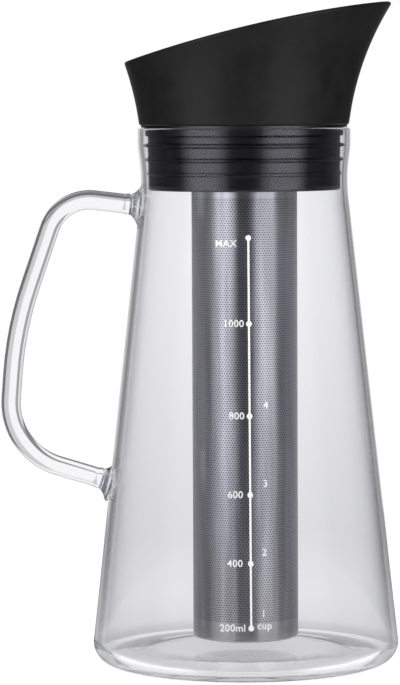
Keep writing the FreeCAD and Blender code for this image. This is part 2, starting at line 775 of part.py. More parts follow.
def make_flap_carrier():
    body = new_body("flap_carrier")
    turn(body, "plate", [
        ("0", FLAP_Z),
        (FLAP_PLATE_R, FLAP_Z),
        (FLAP_PLATE_R, FLAP_PLATE_TOP_Z),
        ("0", FLAP_PLATE_TOP_Z),
    ])
    wrap_r = total(WEIGHT_R, size("weight_wrap"))
    lug = new_sketch(body, "lug_outline")
    lug_top_z = total(FLAP_Z, half(size("flap_plate_thick")))
    draw_outline(lug, [
        (less(WEIGHT_X, wrap_r), lug_top_z),
        (less(WEIGHT_X, wrap_r), less(WEIGHT_Z, wrap_r), size("lug_round")),
        (total(WEIGHT_X, wrap_r), less(WEIGHT_Z, wrap_r), size("lug_round")),
        (total(PIVOT_X, size("lug_front_w")), lug_top_z),
    ])
    extrude(body, "lugs", lug, twice(size("lug_out")))
    between = new_sketch(body, "between_lugs")
    draw_box(
        between,
        less(WEIGHT_X, wrap_r, wrap_r), less(WEIGHT_Z, wrap_r, wrap_r),
        total(PIVOT_X, size("lug_front_w"), wrap_r), FLAP_Z)
    extrude(body, "lug_space", between, twice(less(size("lug_out"), size("lug_thick"))), cut=True)
    holes = new_sketch(body, "lug_holes_outline")
    draw_circle(holes, PIVOT_X, PIVOT_Z, total(PIN_R, size("pin_run_gap")))
    draw_circle(holes, WEIGHT_X, WEIGHT_Z, total(WEIGHT_R, half(size("fit_gap"))))
    extrude(body, "lug_holes", holes, twice(size("weight_half_len")), cut=True)
    return body


def make_flap_weight():
    body = new_body("flap_weight")
    sketch = new_sketch(body, "weight_outline")
    draw_circle(sketch, WEIGHT_X, WEIGHT_Z, WEIGHT_R)
    extrude(body, "bar", sketch, twice(size("weight_half_len")))
    return body


# ----------------------------------------------------------------------------------------- filter

def make_filter_mesh():
    body = new_body("filter_mesh")
    turn(body, "rolled_sheet", [
        (MESH_BORE_R, MESH_Z),
        (MESH_R, MESH_Z),
        (MESH_R, RING_Z),
        (MESH_BORE_R, RING_Z),
    ])
    return body


def make_filter_top_ring():
    body = new_body("filter_top_ring")
    spigot_r = less(MESH_BORE_R, size("fit_gap"))
    spigot_in_r = less(spigot_r, size("ring_wall"))
    turn(body, "ring", [
        (spigot_in_r, less(RING_Z, size("ring_spigot"))),
        (spigot_r, less(RING_Z, size("ring_spigot"))),
        (spigot_r, RING_Z),
        (RING_R, RING_Z),
        (RING_R, RING_TOP_Z),
        (spigot_in_r, RING_TOP_Z),
    ])
    half_groove = half(size("gasket_groove_w"))
    groove_r = less(GASKET_R, half(size("gasket_d")), size("fit_gap"))
    turn(body, "gasket_groove", [
        (groove_r, less(GASKET_Z, half_groove)),
        (total(RING_R, size("ring_gap")), less(GASKET_Z, half_groove)),
        (total(RING_R, size("ring_gap")), total(GASKET_Z, half_groove)),
        (groove_r, total(GASKET_Z, half_groove)),
    ], cut=True)
    return body


def make_filter_ring_gasket():
    body = new_body("filter_ring_gasket")
    sketch = new_sketch(body, "gasket_section")
    draw_circle(sketch, GASKET_R, GASKET_Z, half(size("gasket_d")))
    ring = body.newObject("PartDesign::Revolution", "gasket")
    ring.Profile = (sketch, [""])
    ring.ReferenceAxis = (sketch, ["V_Axis"])
    ring.Angle = 360
    expect_change(body, ring, 0, True)
    return body


def make_filter_base_cap():
    body = new_body("filter_base_cap")
    spigot_r = less(MESH_BORE_R, size("fit_gap"))
    spigot_in_r = less(spigot_r, size("cap_wall"))
    spigot_top_z = total(MESH_Z, size("cap_spigot"))
    floor_top_z = total(FILTER_Z, size("cap_wall"))
    turn(body, "cup", [
        ("0", FILTER_Z),
        (MESH_R, FILTER_Z, size("cap_round")),
        (MESH_R, MESH_Z),
        (spigot_r, MESH_Z),
        (spigot_r, spigot_top_z),
        (spigot_in_r, spigot_top_z),
        (spigot_in_r, floor_top_z),
        ("0", floor_top_z),
    ])
    return body


pieces = [
    make_glass_body(),
    make_glass_handle(),
    make_scale_print(),
    make_pour_collar(),
    make_plug_core(),
    make_neck_seal(),
    make_strainer_plate(),
    make_pivot_pin(),
    make_flap_disc(),
    make_flap_seal(),
    make_flap_carrier(),
    make_flap_weight(),
    make_filter_mesh(),
    make_filter_top_ring(),
    make_filter_ring_gasket(),
    make_filter_base_cap(),
]
doc.recompute()

for item in doc.Objects:
    if "Invalid" in item.State or "Error" in item.State:
        raise RuntimeError(f"{item.Label} did not compute: {item.State}")
for piece in pieces:
    if piece.Shape.isNull() or not piece.Shape.isValid():
        raise RuntimeError(f"{piece.Label} has no valid shape")

os.makedirs("parts", exist_ok=True)
for piece in pieces:
    piece.Shape.exportStep(f"parts/{piece.Label}.step")
    box = piece.Shape.optimalBoundingBox()
    print(f"{piece.Label}: {len(piece.Shape.Solids)} solid, {piece.Shape.Volume:.1f} mm3, "
          f"X {box.XMin:.1f} {box.XMax:.1f}, Y {box.YMin:.1f} {box.YMax:.1f}, Z {box.ZMin:.1f} {box.ZMax:.1f}")
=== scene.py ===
import json
import math

import bmesh
import bpy
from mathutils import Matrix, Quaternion, Vector


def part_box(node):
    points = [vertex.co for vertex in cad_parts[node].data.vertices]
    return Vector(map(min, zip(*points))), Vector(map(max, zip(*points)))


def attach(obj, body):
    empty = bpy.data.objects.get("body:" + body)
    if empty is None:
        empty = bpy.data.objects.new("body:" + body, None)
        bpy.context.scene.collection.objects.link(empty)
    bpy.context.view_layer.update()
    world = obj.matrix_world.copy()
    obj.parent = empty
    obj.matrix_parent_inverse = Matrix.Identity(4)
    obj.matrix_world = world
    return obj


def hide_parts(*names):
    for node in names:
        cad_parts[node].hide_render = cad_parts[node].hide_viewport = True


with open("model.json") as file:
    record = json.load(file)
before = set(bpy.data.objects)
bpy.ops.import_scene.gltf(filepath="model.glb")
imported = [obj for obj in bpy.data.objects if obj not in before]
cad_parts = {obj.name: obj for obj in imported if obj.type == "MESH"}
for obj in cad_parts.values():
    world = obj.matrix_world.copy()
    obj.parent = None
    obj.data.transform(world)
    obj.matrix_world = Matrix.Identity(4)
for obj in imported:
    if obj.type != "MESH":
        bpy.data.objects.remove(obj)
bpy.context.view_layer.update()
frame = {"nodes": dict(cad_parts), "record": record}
NODES = frame["nodes"]

# Cold brew coffee maker. The frame is the CAD's: metres, origin on the jug's axis in the plane of
# its foot ring, +Z up, +X towards the pouring side, handle at -X, printed scale facing -Y.

MM = 0.001

# ------------------------------------------------------------------------- sizes, in millimetres

# jug
LIP_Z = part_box("glass_body")[1].z / MM
GLASS_WALL = 2.0
FLOOR_WALL = 3.2
SIDE_FOOT_R = 58.9
BASE_ROUND = 7.0
NECK_R = 40.2
NECK_Z = LIP_Z - 7.1
NECK_ROUND = 25.0
WAIST_R = NECK_R - 1.6
WAIST_Z = LIP_Z - 19.1
WAIST_ROUND = 60.0
LIP_ROUND = 0.95
FOOT_RING_R = SIDE_FOOT_R - 14.9
PUSH_UP_R = FOOT_RING_R - 10.0
PUSH_UP = 1.6
PUSH_UP_ROUND = 55.0

# handle: corners of its middle line, reaches measured outwards from the jug's side
ROD_R = 3.7
TOP_WELD_Z = LIP_Z - 29.2
TOP_BEND = (30.2, LIP_Z - 25.5, 16.0)
GRIP_BEND = (41.9, 127.0, 135.0)
LOW_BEND = (40.3, 80.6, 25.0)
LOW_WELD_Z = 68.4
WELD_FLARE_R = 7.7
WELD_FLARE_LEN = 4.6
WELD_FLARE_POWER = 2.2      # how late the flare spreads out on the wall
BEAD_SWELL = 0.25
BEAD_FROM_WALL = 4.6
BEAD_LEN = 0.9

# printed scale
MARKS = {"200ml": 20.8, "400": 44.2, "600": 69.1, "800": 97.7, "1000": 131.3, "MAX": 162.6}
PRINT_LIFT = 0.1

SIDE_SLOPE = (SIDE_FOOT_R - WAIST_R) / WAIST_Z


def side_r(z):
    """Outer radius of the jug's conical side."""
    return SIDE_FOOT_R - SIDE_SLOPE * z


# --------------------------------------------------------------------------------- mesh building

def rounded(corners, arc_step=3.0, run_step=4.0):
    """Points along straight runs through corners (x, y) or (x, y, radius), with tangent arcs."""
    vectors = [Vector(corner[:2]) for corner in corners]
    points = [vectors[0]]
    for i in range(1, len(corners)):
        at = vectors[i]
        if i == len(corners) - 1 or len(corners[i]) == 2:
            arc = [at]
        else:
            back = (vectors[i - 1] - at).normalized()
            ahead = (vectors[i + 1] - at).normalized()
            half_angle = back.angle(ahead) / 2
            radius = corners[i][2]
            centre = at + (back + ahead).normalized() * radius / math.sin(half_angle)
            start = at + back * radius / math.tan(half_angle) - centre
            end = at + ahead * radius / math.tan(half_angle) - centre
            swept = start.angle_signed(end)
            count = max(2, math.ceil(abs(math.degrees(swept)) / arc_step))
            arc = []
            for k in range(count + 1):
                turn = -swept * k / count
                cos, sin = math.cos(turn), math.sin(turn)
                spoke = Vector((start.x * cos - start.y * sin, start.x * sin + start.y * cos))
                arc.append(centre + spoke)
        run = arc[0] - points[-1]
        pieces = max(1, math.ceil(run.length / run_step))
        points += [points[-1] + run * k / pieces for k in range(1, pieces)]
        points += arc
    return points


def new_piece(name, bm, material, body):
    """A smooth-shaded object from a bmesh in millimetres, riding on a CAD body."""
    bmesh.ops.scale(bm, vec=Vector((MM, MM, MM)), verts=bm.verts)
    bmesh.ops.recalc_face_normals(bm, faces=bm.faces)
    mesh = bpy.data.meshes.new(name)
    bm.to_mesh(mesh)
    bm.free()
    mesh.shade_smooth()
    piece = bpy.data.objects.new(name, mesh)
    bpy.context.scene.collection.objects.link(piece)
    mesh.materials.append(material)
    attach(piece, body)
    return piece


def add_rings(bm, rings):
    """Quads between neighbouring rings of points; a ring of one point is a pole."""
    made = [[bm.verts.new(point) for point in ring] for ring in rings]
    for low, high in zip(made, made[1:]):
        count = max(len(low), len(high))
        for k in range(count):
            below = [low[k % len(low)], low[(k + 1) % len(low)]]
            above = [high[(k + 1) % len(high)], high[k % len(high)]]
            bm.faces.new(list(dict.fromkeys(below + above)))


def turned(outline, segments):
    """A bmesh of an outline (radius, z) turned about Z."""
    bm = bmesh.new()
    rings = []
    for point in outline:
        if abs(point.x) < 1e-6:
            rings.append([(0, 0, point.y)])
            continue
        angles = [2 * math.pi * k / segments for k in range(segments)]
        rings.append([(point.x * math.cos(a), point.x * math.sin(a), point.y) for a in angles])
    add_rings(bm, rings)
    return bm


# --------------------------------------------------------------------------------- material tools

def feed(tree, socket, value):
    """Links value to the socket where it is a socket itself, or sets it there."""
    if isinstance(value, bpy.types.NodeSocket):
        tree.links.new(value, socket)
    else:
        socket.default_value = value


def node_math(tree, operation, *terms):
    made = tree.nodes.new("ShaderNodeMath")
    made.operation = operation
    for socket, term in zip(made.inputs, terms):
        feed(tree, socket, term)
    return made.outputs[0]


def node_ramp(tree, value, low, high, low_to, high_to):
    """value from low..high to low_to..high_to, smooth and clamped."""
    made = tree.nodes.new("ShaderNodeMapRange")
    made.interpolation_type = "SMOOTHSTEP"
    for socket, term in zip(made.inputs, (value, low, high, low_to, high_to)):
        feed(tree, socket, term)
    return made.outputs["Result"]


class Shader:
    """A node material with short calls for the nodes that the finishes here are made of."""

    def __init__(self, name):
        self.material = bpy.data.materials.new(name)
        self.material.use_nodes = True
        self.tree = self.material.node_tree
        self.principled = self.tree.nodes["Principled BSDF"]
        self.output = self.tree.nodes["Material Output"]

    def node(self, kind, **settings):
        made = self.tree.nodes.new(kind)
        for key, value in settings.items():
            setattr(made, key, value)
        return made

    def feed(self, socket, value):
        feed(self.tree, socket, value)

    def set(self, **values):
        """Principled inputs, written with _ for a space."""
        for key, value in values.items():
            self.feed(self.principled.inputs[key.replace("_", " ")], value)

    def place(self, scale=(1, 1, 1)):
        mapping = self.node("ShaderNodeMapping")
        mapping.inputs["Scale"].default_value = scale
        self.feed(mapping.inputs["Vector"], self.node("ShaderNodeTexCoord").outputs["Object"])
        return mapping.outputs["Vector"]

    def noise(self, scale, detail=2.0, roughness=0.5, stretch=(1, 1, 1)):
        made = self.node("ShaderNodeTexNoise")
        made.inputs["Scale"].default_value = scale
        made.inputs["Detail"].default_value = detail
        made.inputs["Roughness"].default_value = roughness
        self.feed(made.inputs["Vector"], self.place(stretch))
        return made.outputs["Fac"]

    def math(self, operation, *terms):
        return node_math(self.tree, operation, *terms)

    def vector_math(self, operation, *terms):
        made = self.node("ShaderNodeVectorMath", operation=operation)
        for socket, term in zip(made.inputs, terms):
            self.feed(socket, term)
        return made.outputs["Value" if operation in ("LENGTH", "DISTANCE") else "Vector"]

    def ramp(self, value, low, high, low_to, high_to):
        return node_ramp(self.tree, value, low, high, low_to, high_to)

    def mix(self, factor, first, second):
        made = self.node("ShaderNodeMix", data_type="RGBA")
        self.feed(made.inputs["Factor"], factor)
        self.feed(made.inputs["A"], first)
        self.feed(made.inputs["B"], second)
        return made.outputs["Result"]

    def bump(self, height, distance, strength=1.0):
        made = self.node("ShaderNodeBump")
        made.inputs["Strength"].default_value = strength
        made.inputs["Distance"].default_value = distance
        self.feed(made.inputs["Height"], height)
        self.set(Normal=made.outputs["Normal"])


def grey(value):
    return (value, value, value, 1.0)


# ------------------------------------------------------------------------------------- materials

IN_NECK_FROM = WAIST_Z - 12.0       # millimetres, as all heights and radii here
FOOT_SHADE_Z = (10.0, 18.0)          # painted shade at the foot ends between these heights
FOOT_EDGE_SHADE_Z = (4.0, 8.0)            # and a darker painted shade, at its outer edge, between these
JUG_FLOOR_SHADE_R = (47.0, 52.0)          # the painted shade in the floor ends between these radii


def glass_material():
    """Clear borosilicate: faint drawn ripples, painted shade where a wall or the rod is seen edge on
    (less of it in the neck), and painted shade at the foot.
    """
    shader = Shader("jug_glass")
    layer = shader.node("ShaderNodeLayerWeight")
    layer.inputs["Blend"].default_value = 0.5
    facing = layer.outputs["Facing"]
    height = shader.node("ShaderNodeSeparateXYZ")
    place = shader.place()
    shader.feed(height.inputs[0], place)
    from_axis = shader.vector_math("LENGTH", shader.vector_math("MULTIPLY", place, (1, 1, 0)))
    in_neck = shader.ramp(height.outputs["Z"], IN_NECK_FROM * MM, WAIST_Z * MM, 0.0, 1.0)
    # painted shade where the glass is seen edge on, darker below the neck than in it
    edge_shade = shader.mix(in_neck, (0.50, 0.50, 0.54, 1), (0.90, 0.90, 0.92, 1))
    wall = shader.mix(shader.ramp(facing, 0.5, 0.97, 0.0, 1.0), (0.935, 0.935, 0.955, 1), edge_shade)
    # painted shade at the foot: deeper in the floor, and deepest in its lowest few millimetres
    at_foot = shader.ramp(height.outputs["Z"], FOOT_SHADE_Z[0] * MM, FOOT_SHADE_Z[1] * MM, 1.0, 0.0)
    in_floor = shader.ramp(from_axis, JUG_FLOOR_SHADE_R[0] * MM, JUG_FLOOR_SHADE_R[1] * MM, 1.0, 0.0)
    foot = shader.mix(in_floor, (0.92, 0.92, 0.93, 1), (0.87, 0.87, 0.89, 1))
    foot_edge_shade = shader.ramp(height.outputs["Z"], FOOT_EDGE_SHADE_Z[0] * MM, FOOT_EDGE_SHADE_Z[1] * MM, 1.0, 0.0)
    foot = shader.mix(foot_edge_shade, foot, (0.80, 0.80, 0.82, 1))
    shader.set(
        Base_Color=shader.mix(at_foot, wall, foot),
        Roughness=0.0, IOR=1.47, Transmission_Weight=1.0, Specular_Tint=grey(0.25))
    shader.bump(shader.noise(14, detail=1.0, stretch=(1, 1, 0.35)), 0.0004, 0.06)
    volume = shader.node("ShaderNodeVolumeAbsorption")
    volume.inputs["Color"].default_value = (0.55, 0.56, 0.68, 1)
    volume.inputs["Density"].default_value = 1.0
    shader.tree.links.new(volume.outputs["Volume"], shader.output.inputs["Volume"])
    return shader.material


def enamel_material():
    """Fired-on white ink, slightly uneven in cover and gloss."""
    shader = Shader("white_enamel")
    cover = shader.noise(2600, detail=3.0)
    shader.set(
        Base_Color=shader.mix(shader.ramp(cover, 0.3, 0.7, 0.0, 1.0), grey(0.90), grey(0.96)),
        Roughness=shader.ramp(cover, 0.3, 0.7, 0.30, 0.42))
    shader.bump(cover, 0.00003, 0.5)
    return shader.material


def collar_material():
    """Matte black moulding: fine spark-eroded grain and a faint mottle."""
    shader = Shader("black_collar")
    mottle = shader.noise(90, detail=4.0, roughness=0.6)
    grain = shader.noise(2600, detail=2.0)
    patches = shader.ramp(mottle, 0.35, 0.65, 0.0, 1.0)
    shader.set(
        Base_Color=shader.mix(patches, (0.006, 0.006, 0.0065, 1), (0.010, 0.010, 0.0105, 1)),
        Roughness=shader.ramp(mottle, 0.35, 0.65, 0.40, 0.48),
        Specular_IOR_Level=0.31)
    shader.bump(grain, 0.00006, 0.4)
    return shader.material


def plug_material():
    """Semi-gloss black moulding with faint flow marks."""
    shader = Shader("black_plug")
    flow = shader.noise(60, detail=3.0, stretch=(1, 1, 0.3))
    shader.set(
        Base_Color=shader.mix(flow, (0.006, 0.006, 0.007, 1), (0.011, 0.011, 0.012, 1)),
        Roughness=shader.ramp(flow, 0.3, 0.7, 0.28, 0.32),
        Specular_IOR_Level=0.95)
    shader.bump(shader.noise(400, detail=2.0), 0.00002, 0.06)
    return shader.material


def silicone_material():
    """Satin black silicone, less glossy where it turns away."""
    shader = Shader("black_silicone")
    layer = shader.node("ShaderNodeLayerWeight")
    layer.inputs["Blend"].default_value = 0.5
    bloom = shader.noise(120, detail=3.0)
    shader.set(
        Base_Color=shader.mix(bloom, (0.006, 0.006, 0.008, 1), (0.009, 0.009, 0.012, 1)),
        Roughness=shader.ramp(bloom, 0.3, 0.7, 0.276, 0.30),
        Specular_IOR_Level=shader.ramp(layer.outputs["Facing"], 0.2, 0.45, 1.0, 0.08),
        Specular_Tint=(0.88, 0.86, 1.0, 1.0))
    shader.bump(bloom, 0.00002, 0.03)
    return shader.material


def steel_material():
    """Turned stainless steel: fine rings about the axis of the piece."""
    shader = Shader("plain_steel")
    lines = shader.noise(220, detail=3.0, stretch=(1, 1, 14))
    shader.set(
        Base_Color=shader.mix(lines, (0.40, 0.40, 0.41, 1), (0.56, 0.56, 0.57, 1)),
        Metallic=1.0,
        Roughness=shader.ramp(lines, 0.3, 0.7, 0.24, 0.36))
    shader.bump(lines, 0.00002, 0.3)
    return shader.material


def disc_material():
    """Pressed stainless disc, brushed in circles."""
    shader = Shader("brushed_disc")
    place = shader.place()
    radius = shader.vector_math("LENGTH", shader.vector_math("MULTIPLY", place, (1, 1, 0)))
    made = shader.node("ShaderNodeTexNoise", noise_dimensions="1D")
    made.inputs["Scale"].default_value = 3500
    made.inputs["Detail"].default_value = 3.0
    shader.feed(made.inputs["W"], radius)
    rings = made.outputs["Fac"]
    shader.set(
        Base_Color=shader.mix(rings, (0.46, 0.46, 0.47, 1), (0.64, 0.64, 0.65, 1)),
        Metallic=1.0,
        Roughness=shader.ramp(rings, 0.3, 0.7, 0.22, 0.38))
    shader.bump(rings, 0.00002, 0.4)
    return shader.material


MESH_R = 20.0
HOLE_PITCH = 1.0
HOLE_R = 0.28
BARE_LOW = 7.5      # plain band at the foot of the sheet
BARE_TOP = 4.0
FIRST_ROW_LOWER = 1.3       # how far the first holes reach down into that band
COLUMNS_ADDED = 200         # any whole number that makes the count around the tube positive


def mesh_material():
    """Stainless sheet etched with round holes in staggered rows, drawn as dots of painted shade with
    rims.
    """
    shader = Shader("etched_mesh")
    low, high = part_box("filter_mesh")
    place = shader.node("ShaderNodeTexCoord").outputs["Object"]
    parts = shader.node("ShaderNodeSeparateXYZ")
    shader.feed(parts.inputs[0], place)
    around = shader.math("ARCTAN2", parts.outputs["Y"], parts.outputs["X"])
    count = round(2 * math.pi * MESH_R / HOLE_PITCH)
    column = shader.math("MULTIPLY", around, count / (2 * math.pi))
    row = shader.math("MULTIPLY", parts.outputs["Z"], 1 / (HOLE_PITCH * MM))
    stagger = math.sqrt(3)
    distances = []
    for shift in (0.0, 0.5):
        u = shader.math("FRACT", shader.math("ADD", column, COLUMNS_ADDED + shift))
        u = shader.math("SUBTRACT", u, 0.5)
        v = shader.math("FRACT", shader.math("ADD", shader.math("DIVIDE", row, stagger), shift))
        v = shader.math("MULTIPLY", shader.math("SUBTRACT", v, 0.5), stagger)
        distances.append(shader.math("SQRT", shader.math(
            "ADD", shader.math("MULTIPLY", u, u), shader.math("MULTIPLY", v, v))))
    nearest = shader.math("MINIMUM", *distances)
    hole_share = HOLE_R / HOLE_PITCH
    hole = shader.ramp(nearest, hole_share * 0.8, hole_share * 1.2, 1.0, 0.0)
    above = shader.math("GREATER_THAN", parts.outputs["Z"], low.z + (BARE_LOW - FIRST_ROW_LOWER) * MM)
    below = shader.math("LESS_THAN", parts.outputs["Z"], high.z - BARE_TOP * MM)
    hole = shader.math("MULTIPLY", hole, shader.math("MULTIPLY", above, below))
    streak = shader.noise(260, detail=3.0, stretch=(1, 1, 0.06))
    streaks = shader.ramp(streak, 0.3, 0.7, 0.0, 1.0)
    sheet = shader.mix(streaks, (0.44, 0.44, 0.485, 1), (0.70, 0.70, 0.77, 1))
    past_band = shader.ramp(parts.outputs["Z"], low.z, low.z + BARE_LOW * MM, 0.0, 1.0)
    bare = shader.math("SUBTRACT", 1.0, past_band)
    band = shader.mix(streak, (0.33, 0.33, 0.335, 1), (0.60, 0.60, 0.605, 1))
    sheet = shader.mix(bare, sheet, band)
    shader.set(
        # the holes are painted shade: near-black dots on the whole sheet, where one would see the
        # dark inside
        Base_Color=shader.mix(hole, sheet, (0.03, 0.03, 0.035, 1)),
        Metallic=shader.math("SUBTRACT", 1.0, shader.math("MULTIPLY", hole, 0.8)),
        Roughness=shader.ramp(streak, 0.3, 0.7, 0.276, 0.29),
        Sheen_Weight=1.0, Sheen_Roughness=0.5, Sheen_Tint=(0.90, 0.88, 1.0, 1.0))
    shader.bump(shader.math("SUBTRACT", 1.0, hole), 0.00004, 0.25)
    return shader.material


MATERIALS = {
    "jug_glass": glass_material(),
    "white_enamel": enamel_material(),
    "black_collar": collar_material(),
    "black_plug": plug_material(),
    "black_silicone": silicone_material(),
    "plain_steel": steel_material(),
    "brushed_disc": disc_material(),
    "etched_mesh": mesh_material(),
}


def dress_cad_nodes():
    """Each CAD node gets the finish that the record names for it."""
    for part in frame["record"]["subparts"]:
        mesh = NODES[part["node"]].data
        mesh.materials.clear()
        mesh.materials.append(MATERIALS[part["material_slot"]])


# ----------------------------------------------------------------------------------- fused glass

JUG_SEGMENTS = 192
ROD_SEGMENTS = 48
WELD_POINTS = 8             # how many points of the rod's middle line lie closer together at a weld
WELD_STEP = 0.35


def jug_shell():
    """The blown jug, outside and inside, as one closed surface."""
    inner_low_r = side_r(FLOOR_WALL) - GLASS_WALL
    return turned(rounded([
        (0, PUSH_UP),
        (PUSH_UP_R, PUSH_UP, PUSH_UP_ROUND),
        (FOOT_RING_R, 0),
        (SIDE_FOOT_R, 0, BASE_ROUND),
        (WAIST_R, WAIST_Z, WAIST_ROUND),
        (NECK_R, NECK_Z, NECK_ROUND),
        (NECK_R, LIP_Z, LIP_ROUND),
        (NECK_R - GLASS_WALL, LIP_Z, LIP_ROUND),
        (NECK_R - GLASS_WALL, NECK_Z, NECK_ROUND + GLASS_WALL),
        (WAIST_R - GLASS_WALL, WAIST_Z, WAIST_ROUND + GLASS_WALL),
        (inner_low_r, FLOOR_WALL, BASE_ROUND - GLASS_WALL),
        (FOOT_RING_R, FLOOR_WALL, PUSH_UP_ROUND),
        (PUSH_UP_R, PUSH_UP + FLOOR_WALL, PUSH_UP_ROUND),
        (0, PUSH_UP + FLOOR_WALL),
    ]), JUG_SEGMENTS)


def rod_radius(from_wall):
    """The rod, its molten bead near the weld and the flare on the wall."""
    bead = BEAD_SWELL * math.exp(-((from_wall - BEAD_FROM_WALL) / BEAD_LEN) ** 2)
    reach = max(0.0, 1 - max(0.0, from_wall) / WELD_FLARE_LEN)
    return ROD_R + bead + (WELD_FLARE_R - ROD_R) * reach ** WELD_FLARE_POWER


def handle_rod():
    """The bent rod, its ends halfway into the jug's wall."""
    corners = [(-(side_r(TOP_WELD_Z) - GLASS_WALL / 2), TOP_WELD_Z)]
    for reach, z, radius in (TOP_BEND, GRIP_BEND, LOW_BEND):
        corners.append((-(side_r(z) + reach), z, radius))
    corners.append((-(side_r(LOW_WELD_Z) - GLASS_WALL / 2), LOW_WELD_Z))
    line = rounded(corners, arc_step=2.5, run_step=2.0)
    inner = line[WELD_POINTS + 1:-WELD_POINTS - 1]
    near = rounded([line[0], line[WELD_POINTS]], run_step=WELD_STEP)
    far = rounded([line[-WELD_POINTS - 1], line[-1]], run_step=WELD_STEP)
    line = near + inner + far
    gone = [0.0]
    for a, b in zip(line, line[1:]):
        gone.append(gone[-1] + (b - a).length)
    rings = []
    for i, point in enumerate(line):
        ahead = (line[min(i + 1, len(line) - 1)] - line[max(i - 1, 0)]).normalized()
        across = Vector((-ahead.y, ahead.x))
        from_wall = min(gone[i], gone[-1] - gone[i]) - GLASS_WALL / 2
        radius = rod_radius(from_wall)
        ring = []
        for k in range(ROD_SEGMENTS):
            angle = 2 * math.pi * k / ROD_SEGMENTS
            side = across * radius * math.cos(angle)
            ring.append((point.x + side.x, radius * math.sin(angle), point.y + side.y))
        rings.append(ring)
    bm = bmesh.new()
    add_rings(bm, [[(line[0].x, 0, line[0].y)], *rings, [(line[-1].x, 0, line[-1].y)]])
    return bm


def make_fused_glass():
    jug = new_piece("fused_glass", jug_shell(), MATERIALS["jug_glass"], "carafe")
    rod = new_piece("rod_blank", handle_rod(), MATERIALS["jug_glass"], "carafe")
    fuse = jug.modifiers.new("fuse", "BOOLEAN")
    fuse.operation = "UNION"
    fuse.solver = "EXACT"
    fuse.object = rod
    bpy.context.view_layer.update()
    fused = bpy.data.meshes.new_from_object(jug.evaluated_get(bpy.context.evaluated_depsgraph_get()))
    jug.modifiers.clear()
    jug.data = fused
    bpy.data.objects.remove(rod)
    fused.shade_smooth()
    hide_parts("glass_body", "glass_handle")


# --------------------------------------------------------------------------------- printed scale

FIGURE_HEIGHT = 2.7         # height of a digit
FIGURE_BOLD = 0.03          # how much its strokes are widened to each side
CAP_SHARE = 0.73            # height of a digit as a share of the font's size
# left of the line: text, gap to the line, and how far it is printed below its mark
LEFT_FIGURES = [
    ("200ml", 2.0, 0), ("400", 2.9, 0), ("600", 2.6, 0),
    ("800", 1.9, 0), ("1000", 1.8, 0), ("MAX", 4.2, 2.1),
]
# right of it: text, height of its middle, and its middle from the line
RIGHT_FIGURES = [
    ("cup", 21.6, 4.9), ("1", 26.0, 4.6), ("2", 48.2, 5.0), ("3", 73.1, 5.6), ("4", 101.6, 6.0),
]
FIGURE_SPACING = 1.05


def figure_mesh(text, align, offset, z):
    """Flat text as a mesh, bent round the jug's side, in millimetres."""
    curve = bpy.data.curves.new("figure", "FONT")
    curve.body = text
    curve.align_x = align
    curve.align_y = "CENTER"
    curve.size = FIGURE_HEIGHT / CAP_SHARE
    curve.offset = FIGURE_BOLD
    curve.space_character = FIGURE_SPACING
    curve.resolution_u = 3
    blank = bpy.data.objects.new("figure", curve)
    mesh = bpy.data.meshes.new_from_object(blank)
    bm = bmesh.new()
    bm.from_mesh(mesh)
    bpy.data.objects.remove(blank)
    bpy.data.curves.remove(curve)
    bpy.data.meshes.remove(mesh)
    slant = math.atan(SIDE_SLOPE)
    for vert in bm.verts:
        height = z + vert.co.y * math.cos(slant)
        radius = side_r(height) + PRINT_LIFT
        angle = (vert.co.x + offset) / radius
        vert.co = (radius * math.sin(angle), -radius * math.cos(angle), height)
    return bm


def make_figures():
    """All figures as one raised piece, flat shaded so that its thin faces stay even."""
    bm = bmesh.new()
    labels = [(text, "RIGHT", -gap, MARKS[text] - drop) for text, gap, drop in LEFT_FIGURES]
    labels += [(text, "CENTER", offset, z) for text, z, offset in RIGHT_FIGURES]
    for label in labels:
        part = figure_mesh(*label)
        mesh = bpy.data.meshes.new("figure_part")
        part.to_mesh(mesh)
        part.free()
        bm.from_mesh(mesh)
        bpy.data.meshes.remove(mesh)
    solid = bmesh.ops.extrude_face_region(bm, geom=bm.faces[:])
    for vert in [item for item in solid["geom"] if isinstance(item, bmesh.types.BMVert)]:
        outwards = Vector((vert.co.x, vert.co.y, 0)).normalized()
        vert.co += outwards * PRINT_LIFT
    figures = new_piece("scale_figures", bm, MATERIALS["white_enamel"], "carafe")
    figures.data.shade_flat()


# ---------------------------------------------------------------------------------------- studio

CAMERA_DISTANCE = 1.25
CAMERA_HEIGHT = 0.214
CAMERA_AZIMUTH = 2.0        # degrees towards the handle from straight in front
AIM = Vector((-0.0170, 0, 0.1213))
LENS = 173.5
CAMERA_ROLL = -0.27

SOFTBOX_DISTANCE = 1.05
SOFTBOX_AZIMUTH = 45.5      # from the camera's
SOFTBOX_SIZE = (1.05, 1.9)
SOFTBOX_RADIANCE = 1.55     # in its middle
SOFTBOX_FALLOFF = (0.2, 0.5)    # shares of its width from the middle, between which it dims
SOFTBOX_EDGE = 0.3          # to this share of its radiance
SOFTBOX_HEIGHT = 0.2


def make_camera():
    camera = bpy.data.objects.new("camera", bpy.data.cameras.new("camera"))
    bpy.context.scene.collection.objects.link(camera)
    azimuth = math.radians(CAMERA_AZIMUTH)
    camera.location = (
        -CAMERA_DISTANCE * math.sin(azimuth), -CAMERA_DISTANCE * math.cos(azimuth), CAMERA_HEIGHT)
    look = (AIM - camera.location).to_track_quat("-Z", "Y")
    camera.rotation_mode = "QUATERNION"
    camera.rotation_quaternion = look @ Quaternion((0, 0, 1), math.radians(CAMERA_ROLL))
    camera.data.lens = LENS
    camera.data.clip_start = 0.05
    camera.data.clip_end = 20
    bpy.context.scene.camera = camera


